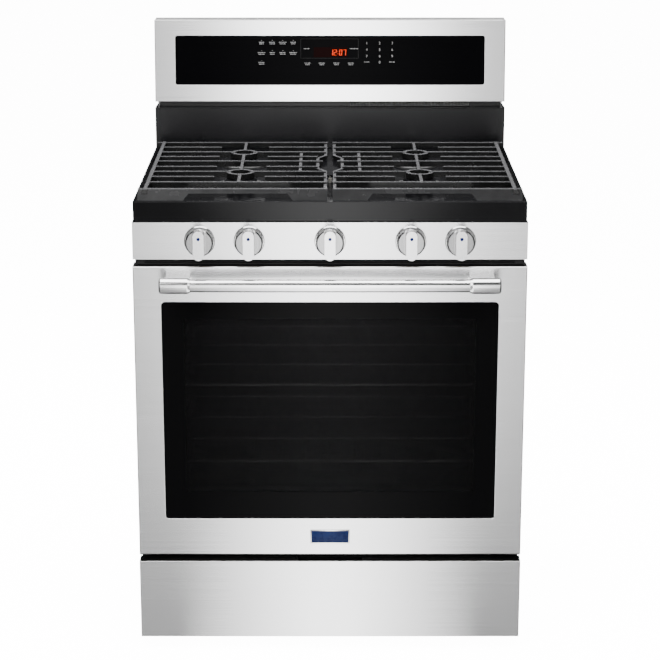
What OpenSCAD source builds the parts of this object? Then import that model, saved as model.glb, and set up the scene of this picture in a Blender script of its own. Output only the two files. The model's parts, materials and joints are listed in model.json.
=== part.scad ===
// Freestanding gas range, 30 inch class: sealed burners, convection oven, storage drawer.
// Millimetres, +Z up, front towards -Y, origin on the floor under the centre of the box.

/* [Overall] */
// Width across the two side panels
body_w = 756; // [640:1:907]
// Height of the cooktop's front edge above the floor
cook_h = 914; // [800:1:1096]
// Height of the backguard's top edge above the floor
total_h = 1188; // [1150:1:1420]
// Depth from the rear cover to the door's front face
depth = 660; // [580:1:790]
// Height of the gap under the cabinet, taken up by the levelling feet
foot_h = 24; // [18:1:40]

/* [Drawer] */
// Height of the drawer front
drawer_h = 162.5; // [130:0.5:195]
// Depth of the drawer pan from its front wall
pan_d = 560; // [450:1:600]

/* [Door] */
// Height of the steel rail above the window
rail_top = 70.5; // [60:0.5:90]
// Height of the steel rail under the window
rail_bottom = 76; // [62:0.5:95]
// Width of the steel stile on each side of the window
rail_side = 54; // [45:0.5:70]
// How far the handle stands out from the door
handle_out = 70; // [60:1:84]
// Diameter of the handle tube
handle_d = 24.5; // [20:0.5:29]
// Overall length of the handle
handle_w = 649; // [520:1:700]

/* [Controls] */
// Height of the steel control panel
panel_h = 72.5; // [70:0.5:87]
// Distance from the centre knob to the two inner knobs
knob_in_x = 155; // [130:1:170]
// Distance from the centre knob to the two outer knobs
knob_out_x = 250; // [240:1:300]
// Diameter of a knob's skirt
knob_d = 54; // [45:1:62]
// How far a knob stands out from the panel
knob_out = 45; // [42:1:54]
// Travel of a knob when it is pushed in
push = 3; // [2:0.5:3]

/* [Cooktop] */
// Height of the grate's bars above the burner surface
grate_h = 28; // [26:1:34]
// Thickness of a grate bar
bar_t = 6; // [5:0.5:9]
// Diameter of a burner cap
cap_d = 66; // [55:1:74]
// Distance from the centre line to each pair of burners
burner_x = 179; // [150:1:185]

/* [Backguard] */
// Height of the black riser behind the burners
riser_h = 86; // [72:1:103]
// How far the fascia leans back over its height
lean = 16; // [8:1:19]
// Width of the control glass
glass_w = 664; // [560:1:690]
// Margin from the fascia's bottom and top edges to the control glass
glass_margin = 36; // [30:1:43]

/* [Oven] */
// Gap from the side panel to the oven wall
wall_gap = 68; // [62:1:75]
// Radius of the convection fan's cover
fan_r = 100; // [84:1:112]
// Number of rack positions
guide_n = 5; // [5:1:5]

/* [Hidden] */
$fn = 64;
e = 1; // how far a cutter runs past a face
st = 1.5; // sheet metal
thin = 1.2; // outer cabinet sheet
hw = body_w / 2;
inw = hw - thin; // inner face of a side panel
yr = (depth + handle_out) / 2; // rear plane
yd = yr - depth; // door front
yp = yd + 10; // control panel front
yc = yd + 20; // cooktop front edge
yf = yd + 45; // oven front frame
ys = yr - 70; // riser face
cook_d = ys - yc;
drawer_z1 = foot_h + drawer_h;
door_z0 = drawer_z1 + 14.5;
apron_h = 38;
apron_z0 = cook_h - apron_h;
panel_z1 = apron_z0 - 0.5;
panel_z0 = panel_z1 - panel_h;
door_z1 = panel_z0 - 12;
door_hw = hw + 1.5;
door_back = yd + 39;
skin_back = door_back - 6;
hinge_y = yd + 22;
hinge_z = door_z0 + 12;
hinge_x = hw - 38;
pin_r = 4;
run = 0.3; // clearance round a turning or sliding piece
win_hw = door_hw - rail_side;
win_z0 = door_z0 + rail_bottom;
win_z1 = door_z1 - rail_top;
lite_hw = win_hw - 42;
lite_z0 = win_z0 + 55;
lite_z1 = win_z1 - 33;
oven_hw = hw - wall_gap;
oven_z0 = door_z0 + 61;
oven_z1 = door_z1 - 49;
oven_y1 = yr - 125;
oven_h = oven_z1 - oven_z0;
guide_w = 16;
guide_h = 5;
guide_pitch = oven_h / 6;
function guide_z(i) = oven_z0 + 29 + i * guide_pitch;
rack_y0 = yf + 20;
rack_y1 = oven_y1 - 35;
rack_wire = 4;
rack_x = oven_hw - 8;
fan_z = oven_z0 + 0.433 * oven_h;
cs = cook_h - 8; // burner surface
function gy(d) = yc + d * cook_d / 570;
front_burner = gy(200);
rear_burner = gy(405);
oval_y = gy(308);
burners = [[-burner_x, front_burner], [-burner_x, rear_burner],
           [burner_x, front_burner], [burner_x, rear_burner]];
knob_xs = [-knob_out_x, -knob_in_x, 0, knob_in_x, knob_out_x];
knob_z = (panel_z0 + panel_z1) / 2;
bezel_t = 5;
knob_back = yp - bezel_t - push - 1;
knob_front = yp - knob_out;
spindle_r = 4;
valve_y0 = yp + 13;
valve_y1 = yp + 36;
manifold_t = 22;
riser_z1 = cook_h + riser_h;
fas_z0 = riser_z1 + 14;
fas_y = ys - 5;
fas_hw = hw - 1;
fas_rise = total_h - fas_z0;
tilt_a = atan(lean / fas_rise);
fas_l = fas_rise / cos(tilt_a);
ret_d = 20; // depth of the fascia's returned edges
function ty(u, v) = fas_y + u * cos(tilt_a) + v * sin(tilt_a);
function tz(u, v) = fas_z0 - u * sin(tilt_a) + v * cos(tilt_a);
handle_y = yd - handle_out + 15.25;
handle_z = door_z1 - 24;
ferrule_r = 15.25;
ferrule_l = 59;
pipe_z = apron_z0 - 14;
pipe_r = 4;
supply_x = hw - 48;
foot_x = hw - 20;
foot_y0 = yf + 25;
foot_y1 = yr - 32;
grate_top = cs + grate_h;
bar_h = 12;
bar_z = grate_top - bar_h;
ring_out = 28;
ring_in = 20;
tray_z = foot_h + 8;
pan_hw = hw - 33;
pan_h = drawer_h - 45;
rail_z = foot_h + 47;

module slab(x, y, z) translate([x[0], y[0], z[0]]) cube([x[1] - x[0], y[1] - y[0], z[1] - z[0]]);
module both() {
  children();
  mirror([1, 0, 0]) children();
}
module along_y(x, z, y0, y1) translate([x, y0, z]) rotate([-90, 0, 0]) linear_extrude(y1 - y0) children();
module rod_y(x, z, y0, y1, r) translate([x, y0, z]) rotate([-90, 0, 0]) cylinder(r = r, h = y1 - y0);
module rod_x(y, z, x0, x1, r) translate([x0, y, z]) rotate([0, 90, 0]) cylinder(r = r, h = x1 - x0);
module rod_z(x, y, z0, z1, r) translate([x, y, z0]) cylinder(r = r, h = z1 - z0);

module rect_ring(xo, xi, zo, zi) difference() {
  translate([-xo, zo[0]]) square([2 * xo, zo[1] - zo[0]]);
  translate([-xi, zi[0]]) square([2 * xi, zi[1] - zi[0]]);
}
// a flat ring standing in the XZ plane between y[0] and y[1]
module frame_y(y, xo, xi, zo, zi) translate([0, y[1], 0]) rotate([90, 0, 0])
  linear_extrude(y[1] - y[0]) rect_ring(xo, xi, zo, zi);
// a rounded window opening in the XZ plane, for cutting
function rr(x, z, r, n = 5) = [for (q = [0:3]) for (i = [0:n])
  let(a = 90 * q + 90 * i / n,
      cx = (q == 0 || q == 3) ? x - r : -x + r,
      cz = (q < 2) ? z[1] - r : z[0] + r) [cx + r * cos(a), cz + r * sin(a)]];
module window_y(y, x, z, r) translate([0, y[1], 0]) rotate([90, 0, 0]) linear_extrude(y[1] - y[0])
  polygon(rr(x, z, r));

// Floor rails that everything stands on: two L sections joined front and back
module base_frame() color("dimgray") difference() {
  union() {
    both() slab([hw - 34, inw], [yf + 2, yr - 17], [foot_h, foot_h + 2]);
    both() slab([inw - st, inw], [yf + 2, yr - 17], [foot_h + 2, foot_h + 42]);
    slab([-inw, inw], [yf + 2, yf + 30], [foot_h, foot_h + 2]);
    slab([-inw, inw], [yr - 45, yr - 17], [foot_h, foot_h + 2]);
    slab([-inw, inw], [yr - 17 - st, yr - 17], [foot_h + 2, foot_h + 42]);
  }
  both() for (y = [foot_y0, foot_y1]) rod_z(foot_x, y, foot_h - e, foot_h + 2 + e, 5 + run);
}

// Four screw-in levelling feet
module levelling_feet() color("black") both() for (y = [foot_y0, foot_y1]) {
  rod_z(foot_x, y, 0, 6, 15);
  rod_z(foot_x, y, 6, foot_h + 20, 5);
  translate([foot_x, y, foot_h - 6]) cylinder(r = 9, h = 6, $fn = 6);
}

module side_panels() color("black") both() {
  slab([inw, hw], [yf, yr - thin], [foot_h, apron_z0]);
  slab([inw - 15, inw], [yr - 2 * thin, yr - thin], [foot_h + 46, apron_z0 - 5]);
}

// Rear sheet with the gas inlet's opening and the cord's bushing
module back_panel() color("gray") difference() {
  union() {
    slab([-hw, hw], [yr - thin, yr], [foot_h + 40, apron_z0]);
    rod_y(-hw * 0.8, apron_z0 - 80, yr - thin - 6, yr, 14);
  }
  rod_y(supply_x, pipe_z - 24, yr - thin - e, yr + e, 24);
  rod_y(-hw * 0.8, apron_z0 - 80, yr - 10, yr + e, 5);
}

module oven_base_pan() color("gray")
  slab([-inw, inw], [yf + st, yr - 2 * thin], [door_z0 - 7, door_z0 - 5.5]);

module oven_front_frame() color("black") difference() {
  frame_y([yf, yf + st], inw, oven_hw, [door_z0 - 11, panel_z0 - 1], [oven_z0, oven_z1]);
  both() slab([hinge_x - 4.6, hinge_x + 4.6], [yf - e, yf + st + e], [hinge_z - 8.5, hinge_z + 8.5]);
}

// Removable oven floor with slots for the bake burner's heat
module oven_floor() color("dimgray") difference() {
  slab([-oven_hw, oven_hw], [yf + st, oven_y1], [oven_z0 - st, oven_z0]);
  both() for (i = [0:5]) slab([oven_hw - 50, oven_hw - 20], [yf + 60 + 62 * i, yf + 66 + 62 * i],
                              [oven_z0 - st - e, oven_z0 + e]);
}

module oven_side_walls() color("dimgray") both()
  slab([oven_hw, oven_hw + st], [yf + st, oven_y1], [oven_z0 - st, oven_z1 + st]);

// Ledges that the racks run on
module rack_guides() color("dimgray") both() for (i = [0:guide_n - 1])
  slab([oven_hw - guide_w, oven_hw], [yf + 12, oven_y1 - 6], [guide_z(i) - guide_h, guide_z(i)]);

module oven_roof() color("dimgray")
  slab([-oven_hw, oven_hw], [yf + st, oven_y1], [oven_z1, oven_z1 + st]);

module oven_rear_wall() color("dimgray") difference() {
  slab([-oven_hw - st, oven_hw + st], [oven_y1, oven_y1 + st], [oven_z0 - st, oven_z1 + st]);
  rod_y(0, fan_z, oven_y1 - e, oven_y1 + st + e, 9);
  rod_y(-oven_hw * 0.7, oven_z1 - 60, oven_y1 - e, oven_y1 + st + e, 16);
}

// Woven rope seal clipped round the oven's mouth
module oven_gasket() color("gray")
  frame_y([door_back + 0.5, yf], oven_hw + 20, oven_hw + 12, [oven_z0 - 18, oven_z1 + 18],
          [oven_z0 - 11, oven_z1 + 11]);

module bake_burner() color("silver") {
  both() rod_y(120, oven_z0 - 26, yf + 60, oven_y1 - 70, 9);
  rod_x(yf + 66, oven_z0 - 26, -126, 126, 8);
  rod_x(oven_y1 - 76, oven_z0 - 26, -126, 126, 8);
  both() for (y = [yf + 80, oven_y1 - 90]) slab([117, 123], [y, y + 8], [oven_z0 - 20, oven_z0 - st]);
}

module broil_burner() color("silver") {
  rod_y(0, oven_z1 - 16, yf + 70, oven_y1 - 40, 8);
  for (y = [yf + 110, oven_y1 - 90]) {
    slab([-120, 120], [y - 4, y + 4], [oven_z1 - 20, oven_z1 - 14]);
    slab([-4, 4], [y - 3, y + 3], [oven_z1 - 15, oven_z1]);
  }
  both() slab([112, 120], [yf + 108, oven_y1 - 88], [oven_z1 - 20, oven_z1 - 14]);
}

// Lamp in its socket through the rear wall
module oven_lamp() color("white") {
  rod_y(-oven_hw * 0.7, oven_z1 - 60, oven_y1 - 14, oven_y1, 20);
  rod_y(-oven_hw * 0.7, oven_z1 - 60, oven_y1 - 0.5, oven_y1 + 34, 14);
}

// Round slotted cover over the convection fan
module fan_cover() color("dimgray") difference() {
  rod_y(0, fan_z, oven_y1 - 25, oven_y1, fan_r);
  rod_y(0, fan_z, oven_y1 - 23.5, oven_y1 + e, fan_r - st);
  for (i = [0:11]) translate([0, 0, fan_z]) rotate([0, 30 * i + 15, 0])
    slab([fan_r * 0.3, fan_r * 0.8], [oven_y1 - 25 - e, oven_y1 - 23], [-3, 3]);
}

module fan_blade() color("silver") {
  rod_y(0, fan_z, oven_y1 - 18, oven_y1 - 6, 10);
  rod_y(0, fan_z, oven_y1 - 19, oven_y1 + 16, 3);
  for (i = [0:5]) translate([0, 0, fan_z]) rotate([0, 60 * i, 0])
    slab([8, fan_r * 0.72], [oven_y1 - 17, oven_y1 - 7], [-1, 1]);
}

module fan_motor() color("gray") difference() {
  union() {
    rod_y(0, fan_z, oven_y1 + 12, oven_y1 + 60, 32);
    both() slab([24, 40], [oven_y1 + st, oven_y1 + 14], [fan_z - 8, fan_z + 8]);
  }
  rod_y(0, fan_z, oven_y1 + 12 - e, oven_y1 + 18, 3 + run);
}

// Bracket on each side with the pin that the door turns on
module hinge_receivers() color("gray") both() {
  slab([hinge_x - 6, hinge_x + 6], [yf + st, yf + 50], [hinge_z - 12, hinge_z + 12]);
  slab([hinge_x - 4, hinge_x + 4], [hinge_y, yf + st + 1], [hinge_z - 7.8, hinge_z + 7.8]);
  rod_x(hinge_y, hinge_z, hinge_x - 4, hinge_x + 4, 8);
  rod_x(hinge_y, hinge_z, hinge_x - 10.6, hinge_x + 10.6, pin_r);
}

// Fixed half of the drawer's runners
module drawer_rails() color("gray") both() {
  slab([pan_hw + 5, inw], [yf + 6, yr - 60], [rail_z, rail_z + st]);
  slab([inw - st, inw], [yf + 6, yr - 60], [rail_z + st, rail_z + 24]);
}

// Dark strip in the gap over the door, with two grooves
module front_vent_trim() color("black") difference() {
  slab([-hw + 4, hw - 4], [yp + 2, yf], [door_z1 + 2, panel_z0]);
  for (z = [4.4, 7.8]) slab([-hw + 22, hw - 22], [yp + 2 - e, yp + 6], [door_z1 + z, door_z1 + z + 1.6]);
}

// Steel panel that the knobs stand on
module control_panel() color("silver") difference() {
  union() {
    slab([-door_hw, door_hw], [yp, yp + st], [panel_z0, panel_z1]);
    slab([-door_hw, door_hw], [yp + st, yf], [panel_z1 - st, panel_z1]);
    slab([-door_hw, door_hw], [yp + st, yf], [panel_z0, panel_z0 + st]);
    both() slab([door_hw - st, door_hw], [yp + st, yf], [panel_z0 + st, panel_z1 - st]);
  }
  for (x = knob_xs) rod_y(x, knob_z, yp - e, yp + st + e, 6);
}

// Ring behind each knob
module knob_bezels() color("silver") for (x = knob_xs) translate([x, yp, knob_z]) rotate([90, 0, 0])
  rotate_extrude() polygon([[6.5, 0], [knob_d / 2 + 2.75, 0], [knob_d / 2 + 2.75, bezel_t - 2],
                            [knob_d / 2 + 1.25, bezel_t], [knob_d / 2 - 2, bezel_t], [knob_d / 2 - 3, 2.5],
                            [6.5, 2.5]]);

// Square gas rail behind the valves, with the pipe that feeds it
module gas_manifold() color("silver") {
  slab([-inw, inw], [valve_y1, valve_y1 + manifold_t], [knob_z - 11, knob_z + 11]);
  rod_y(supply_x, pipe_z - 24, valve_y1 + manifold_t - 1, yr - 70, 8);
}

module gas_valves() color("goldenrod") for (x = knob_xs) difference() {
  union() {
    slab([x - 12, x + 12], [valve_y0, valve_y1], [knob_z - 14, knob_z + 14]);
    rod_y(x, knob_z, valve_y0 - 5, valve_y0 + 1, 9);
  }
  rod_y(x, knob_z, valve_y0 - 5 - e, valve_y0 + 16, spindle_r + run);
}

// Pressure regulator: its threaded inlet faces the wall
module gas_regulator() color("silver") difference() {
  union() {
    slab([supply_x - 24, supply_x + 24], [yr - 70, yr - 26], [pipe_z - 42, pipe_z - 4]);
    rod_y(supply_x, pipe_z - 24, yr - 27, yr, 16);
    rod_z(supply_x, yr - 48, pipe_z - 5, pipe_z + 10, 17);
  }
  rod_y(supply_x, pipe_z - 24, yr - 24, yr + e, 10);
}

module gas_run(x0, x1, y1) {
  rod_z(x0, valve_y0 + 8, knob_z + 14, pipe_z, pipe_r);
  translate([x0, valve_y0 + 8, pipe_z]) sphere(r = pipe_r + 0.8);
  rod_y(x0, pipe_z, valve_y0 + 8, y1, pipe_r);
  translate([x0, y1, pipe_z]) sphere(r = pipe_r + 0.8);
  if (abs(x1 - x0) > 1) {
    rod_x(y1, pipe_z, min(x0, x1), max(x0, x1), pipe_r);
    translate([x1, y1, pipe_z]) sphere(r = pipe_r + 0.8);
  }
  rod_z(x1, y1, pipe_z, cs - 32, pipe_r);
}
// Aluminium tube from each valve to its burner
module burner_tubes() color("silver") {
  gas_run(-knob_out_x, -burner_x, front_burner);
  gas_run(-knob_in_x, -burner_x, rear_burner);
  gas_run(0, 0, oval_y);
  gas_run(knob_in_x, burner_x, rear_burner);
  gas_run(knob_out_x, burner_x, front_burner);
}

// Black porcelain top: rolled front lip, raised rim, sunk burner surface
module cooktop() color("black") difference() {
  union() {
    slab([-hw, hw], [yc, yc + st], [apron_z0, cook_h - 1]);
    slab([-hw, hw], [yc + st, yc + 11], [cook_h - st, cook_h]);
    slab([-hw, hw], [yc + 0.6, yc + st], [cook_h - 1, cook_h]);
    slab([-hw, hw], [yc + 11 - st, yc + 11], [cs - st, cook_h - st]);
    slab([-hw + st, hw - st], [yc + 11, yr - 5], [cs - st, cs]);
    both() slab([hw - 4.5, hw], [yc + 11, yr - st], [cs - st, cook_h]);
    both() slab([hw - st, hw], [yc + st, yr - st], [apron_z0, cs - st]);
    slab([-hw + st, hw - st], [yr - 5, yr - st], [apron_z0, cs]);
    slab([-hw + 18, hw - 18], [ys - 15, ys - 12], [cs, cs + 5]);
  }
  for (b = burners) rod_z(b[0], b[1], cs - st - e, cs + e, 21);
  rod_z(0, oval_y, cs - st - e, cs + e, 21);
}

function oval(r, l, n = 16) = [for (q = [0, 1]) for (i = [0:n])
  let(a = 180 * q + 180 * i / n) [r * cos(a), (q == 0 ? l : -l) + r * sin(a)]];
module oval_z(z0, z1, r) translate([0, oval_y, z0]) linear_extrude(z1 - z0) polygon(oval(r, 45));

// Four round heads and the oval one in the middle, each with its throat and bowl rim
module burner_heads() color("silver") {
  for (b = burners) translate([b[0], b[1], 0]) difference() {
    rotate_extrude() polygon([[2.5, cs - 32], [20, cs - 32], [20, cs], [47, cs], [47, cs + 3], [44, cs + 3],
                              [43, cs + 1.5], [cap_d / 2 + 3, cs + 1.5], [cap_d / 2, cs + 3],
                              [cap_d / 2 - 2, cs + 8], [2.5, cs + 8]]);
    for (i = [0:11]) rotate([0, 0, 30 * i]) slab([cap_d / 2 - 8, cap_d / 2 + 2], [-1, 1], [cs + 5, cs + 8 + e]);
  }
  difference() {
    union() {
      oval_z(cs, cs + 3, 36);
      oval_z(cs + 2, cs + 8, 29);
      rod_z(0, oval_y, cs - 32, cs + 1, 20);
    }
    rod_z(0, oval_y, cs - 32 - e, cs + 8 + e, 2.5);
  }
}

module burner_caps() color("black") {
  for (b = burners) translate([b[0], b[1], 0]) rotate_extrude()
    polygon([[0, cs + 8], [cap_d / 2 - 1, cs + 8], [cap_d / 2, cs + 9], [cap_d / 2 - 1.5, cs + 12.5],
             [cap_d / 2 - 6, cs + 14], [0, cs + 14.4]]);
  oval_z(cs + 8, cs + 13, 28);
}

module igniters() color("white") {
  for (b = burners) {
    rod_z(b[0] + sign(-b[0]) * 52, b[1], cs, cs + 9, 3);
    rod_z(b[0] + sign(-b[0]) * 52, b[1], cs + 9, cs + 13, 1);
  }
  rod_z(0, oval_y - 86, cs, cs + 9, 3);
  rod_z(0, oval_y - 86, cs + 9, cs + 13, 1);
}

// Black riser between the burners and the fascia
module riser() color("black") {
  slab([-hw + 5, hw - 5], [ys, ys + st], [cs, cook_h]);
  slab([-hw, hw], [ys, ys + st], [cook_h, riser_z1 - st]);
  slab([-hw, hw], [ys - 3, ys + 34], [riser_z1 - st, riser_z1]);
  both() slab([hw - st, hw], [ys + st, yr - st], [cook_h, riser_z1 - st]);
  slab([-fas_hw + 8, fas_hw - 8], [ys + 20, ys + 24], [riser_z1, riser_z1 + 18]);
}

module leaning() translate([0, fas_y, fas_z0]) rotate([-tilt_a, 0, 0]) children();

// Leaning steel fascia with the window for the control glass
module fascia() color("silver") leaning() difference() {
  slab([-fas_hw, fas_hw], [0, ret_d], [0, fas_l]);
  slab([-fas_hw + 2, fas_hw - 2], [2, ret_d + e], [2, fas_l - 2]);
  window_y([-e, 2 + e], glass_w / 2, [glass_margin, fas_l - glass_margin + 2], 4);
}

module control_glass() color("black") leaning()
  slab([-glass_w / 2 - 8, glass_w / 2 + 8], [2, 5], [glass_margin - 7, fas_l - glass_margin + 9]);

// Circuit board and display on four pillars behind the glass
module control_board() color("green") leaning() {
  slab([-150, 150], [13, 14.6], [glass_margin + 10, fas_l - glass_margin - 10]);
  slab([-40, 30], [5, 13], [fas_l - glass_margin - 50, fas_l - glass_margin - 18]);
  both() for (v = [glass_margin + 14, fas_l - glass_margin - 14]) rod_y(142, v, 5, 13.5, 3);
}

module rear_cover() color("gray") {
  both() translate([fas_hw - 2, 0, 0]) rotate([90, 0, 90]) linear_extrude(2)
    polygon([[ty(ret_d, 0), tz(ret_d, 0)], [yr, tz(ret_d, 0)], [yr, tz(ret_d, fas_l)],
             [ty(ret_d, fas_l), tz(ret_d, fas_l)]]);
  slab([-fas_hw, fas_hw], [yr - st, yr], [apron_z0, tz(ret_d, fas_l)]);
  slab([-fas_hw, fas_hw], [ty(ret_d, fas_l), yr], [tz(ret_d, fas_l) - st, tz(ret_d, fas_l)]);
}

// Door: outer steel shell with its window opening and the pockets for the hinge arms
module door_skin() color("silver") difference() {
  slab([-door_hw, door_hw], [yd, skin_back], [door_z0, door_z1]);
  slab([-door_hw + st, door_hw - st], [yd + st, skin_back + e], [door_z0 + st, door_z1 - st]);
  window_y([yd - e, yd + st + e], win_hw, [win_z0, win_z1], 6);
  both() slab([hinge_x - 13, hinge_x + 13], [hinge_y - 10, skin_back + e], [door_z0 - e, door_z0 + st + e]);
}

module door_glass() color("black")
  slab([-win_hw - 9, win_hw + 9], [yd + st, yd + st + 4], [win_z0 - 9, win_z1 + 9]);

// Porcelain inner panel with its raised plug round the inner window
module door_liner() color("dimgray") difference() {
  union() {
    slab([-door_hw, door_hw], [skin_back, door_back], [door_z0, door_z1]);
    frame_y([door_back - e, door_back + 4], oven_hw - 8, lite_hw + 8, [oven_z0 + 12, oven_z1 - 12],
            [lite_z0 - 30, lite_z1 + 20]);
  }
  slab([-door_hw + 3, door_hw - 3], [skin_back - e, door_back - st], [door_z0 + 3, door_z1 - 3]);
  slab([-lite_hw, lite_hw], [skin_back, door_back + 5], [lite_z0, lite_z1]);
  both() slab([hinge_x - 13, hinge_x + 13], [skin_back - e, door_back + e], [door_z0 - e, hinge_z + 30]);
}

module inner_glass() color("black")
  slab([-lite_hw - 10, lite_hw + 10], [door_back - st - 4, door_back - st], [lite_z0 - 10, lite_z1 + 10]);

// Cheeks that hold the hinge pins
module door_hinges() color("gray") both() difference() {
  slab([hinge_x - 10.5, hinge_x + 10.5], [yd + st, skin_back], [hinge_z - 8.5, hinge_z + 50]);
  slab([hinge_x - 4.6, hinge_x + 4.6], [hinge_y - 10, skin_back + e], [hinge_z - 8.5 - e, hinge_z + 34]);
  rod_x(hinge_y, hinge_z, hinge_x - 12, hinge_x + 12, pin_r + run);
}

module handle_bar() color("silver")
  rod_x(handle_y, handle_z, -handle_w / 2 + 10, handle_w / 2 - 10, handle_d / 2);

// Ferrule and standoff at each end of the handle
module handle_ends() color("silver") both() difference() {
  union() {
    translate([handle_w / 2, handle_y, handle_z]) rotate([0, -90, 0]) rotate_extrude()
      polygon([[0, 0], [ferrule_r - 3, 0], [ferrule_r, 3], [ferrule_r, ferrule_l - 6],
               [handle_d / 2 + 0.8, ferrule_l], [0, ferrule_l]]);
    slab([handle_w / 2 - 56, handle_w / 2 - 10], [handle_y + 9, yd], [handle_z - 9, handle_z + 9]);
  }
  rod_x(handle_y, handle_z, handle_w / 2 - ferrule_l - e, handle_w / 2 - 10, handle_d / 2);
}

module drawer_front() color("silver") {
  slab([-door_hw - 0.5, door_hw + 0.5], [yd, yd + st], [foot_h, drawer_z1]);
  slab([-door_hw - 0.5, door_hw + 0.5], [yd + st, skin_back], [foot_h, foot_h + st]);
  both() slab([door_hw - 1, door_hw + 0.5], [yd + st, skin_back], [foot_h + st, drawer_z1]);
  both() slab([pan_hw - 46, pan_hw - 44], [yd + st, skin_back], [tray_z, drawer_z1 - 30]);
}

// Dark cap along the drawer's top edge with the finger pull in its middle
module drawer_top_trim() color("black") difference() {
  union() {
    slab([-door_hw + 1, door_hw - 1], [yd + st, skin_back], [drawer_z1 - 2, drawer_z1]);
    slab([-67, 67], [yd + 3, skin_back - 1], [drawer_z1 - 18, drawer_z1 - 1]);
  }
  slab([-64, 64], [yd + 6, skin_back - 4], [drawer_z1 - 15, drawer_z1 + e]);
}

module drawer_pan() color("gray") {
  difference() {
    slab([-pan_hw, pan_hw], [skin_back, skin_back + pan_d], [tray_z, tray_z + pan_h]);
    slab([-pan_hw + thin, pan_hw - thin], [skin_back + thin, skin_back + pan_d - thin],
         [tray_z + thin, tray_z + pan_h + e]);
  }
  both() slab([pan_hw, pan_hw + 24], [skin_back + 30, skin_back + pan_d],
              [rail_z + st + run, rail_z + st + run + 2]);
}

// Wire rack: a frame, two cross rods and the wires that food stands on
module rack(z) color("silver") {
  zc = z + rack_wire + run;
  both() rod_y(rack_x, zc, rack_y0 - 2, rack_y1 + 2, rack_wire);
  for (y = [rack_y0, rack_y1]) rod_x(y, zc, -rack_x, rack_x, rack_wire - 0.5);
  for (k = [1, 2]) rod_x(rack_y0 + k * (rack_y1 - rack_y0) / 3, zc - 1, -rack_x, rack_x, 2.5);
  for (i = [1:11]) rod_y(-rack_x + i * rack_x / 6, zc + 2, rack_y0, rack_y1, 2);
}
module upper_rack() rack(guide_z(3));
module lower_rack() rack(guide_z(1));

module bar_x(d, x0, x1) slab([x0, x1], [gy(d) - bar_t / 2, gy(d) + bar_t / 2], [bar_z, grate_top]);

// Left cast-iron grate; the right one is its mirror image
module grate() {
  out = hw - 19; // outer ends of the bars
  lo = cs + run;
  difference() {
    union() {
      for (d = [30, 95, 519]) bar_x(d, -out, -5);
      for (d = [201, 411]) bar_x(d, -out, -8);
      bar_x(310, -out, -14.5);
      for (d = [149, 465]) {
        bar_x(d, -out, -burner_x - 50);
        bar_x(d, -burner_x + 50, -8);
      }
      for (d = [252, 359]) {
        bar_x(d, -out, -burner_x - 50);
        bar_x(d, -burner_x + 50, -25);
      }
      // rail along the seam, stepping round the oval burner
      translate([0, 0, bar_z]) linear_extrude(8) polygon([
        [-12, gy(30)], [-6, gy(30)], [-6, gy(222)], [-22, gy(250)], [-22, gy(361)], [-6, gy(389)],
        [-6, gy(519)], [-12, gy(519)], [-12, gy(391)], [-28, gy(363)], [-28, gy(248)], [-12, gy(220)]]);
      slab([-burner_x - bar_t / 2, -burner_x + bar_t / 2], [gy(95), gy(519)], [bar_z, grate_top - 1]);
      slab([-60 - bar_t / 2, -60 + bar_t / 2], [gy(201), gy(411)], [bar_z, grate_top - 3]);
      for (d = [201, 411]) rod_z(-burner_x, gy(d), bar_z, grate_top - 1.5, ring_out);
      // sloped outer skirt
      translate([0, gy(527), 0]) rotate([90, 0, 0]) linear_extrude(gy(527) - gy(22))
        polygon([[-out, grate_top], [-out + 7, grate_top], [-out + 7, bar_z], [-hw + 13, lo], [-hw + 6, lo]]);
      // sloped front and rear skirts
      slab([-5 - 7, -5], [gy(30), gy(30) + 8], [lo, bar_z + 1]);
      slab([-5 - 7, -5], [gy(519) - 8, gy(519)], [lo, bar_z + 1]);
      translate([-hw + 8, 0, 0]) rotate([90, 0, 90]) linear_extrude(hw - 13) polygon([
        [gy(30) - bar_t / 2, grate_top], [gy(30) + bar_t / 2, grate_top], [gy(30) + bar_t / 2, bar_z],
        [gy(30) - 9, lo], [gy(30) - 15, lo]]);
      translate([-hw + 8, 0, 0]) rotate([90, 0, 90]) linear_extrude(hw - 13) polygon([
        [gy(519) + bar_t / 2, grate_top], [gy(519) - bar_t / 2, grate_top], [gy(519) - bar_t / 2, bar_z],
        [gy(519) + 3, lo], [gy(519) + 9, lo]]);
    }
    for (d = [201, 411]) rod_z(-burner_x, gy(d), bar_z - e, grate_top + e, ring_in);
    // openings under the skirts leave the feet
    translate([0, gy(50), 0]) rotate([90, 0, 0]) linear_extrude(60)
      polygon([[-289, lo - e], [-65, lo - e], [-82, bar_z + 3], [-272, bar_z + 3]]);
    slab([-289, -65], [gy(505), gy(545)], [lo - e, bar_z + 2]);
    slab([-hw, -out + 20], [gy(60), gy(255)], [lo - e, bar_z - 1]);
    slab([-hw, -out + 20], [gy(295), gy(490)], [lo - e, bar_z - 1]);
  }
}
module left_grate() color("black") grate();
module right_grate() color("black") mirror([1, 0, 0]) grate();

module spindle(k) color("silver") rod_y(knob_xs[k - 1], knob_z, knob_front + 12, valve_y0 + 10, spindle_r);

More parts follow.
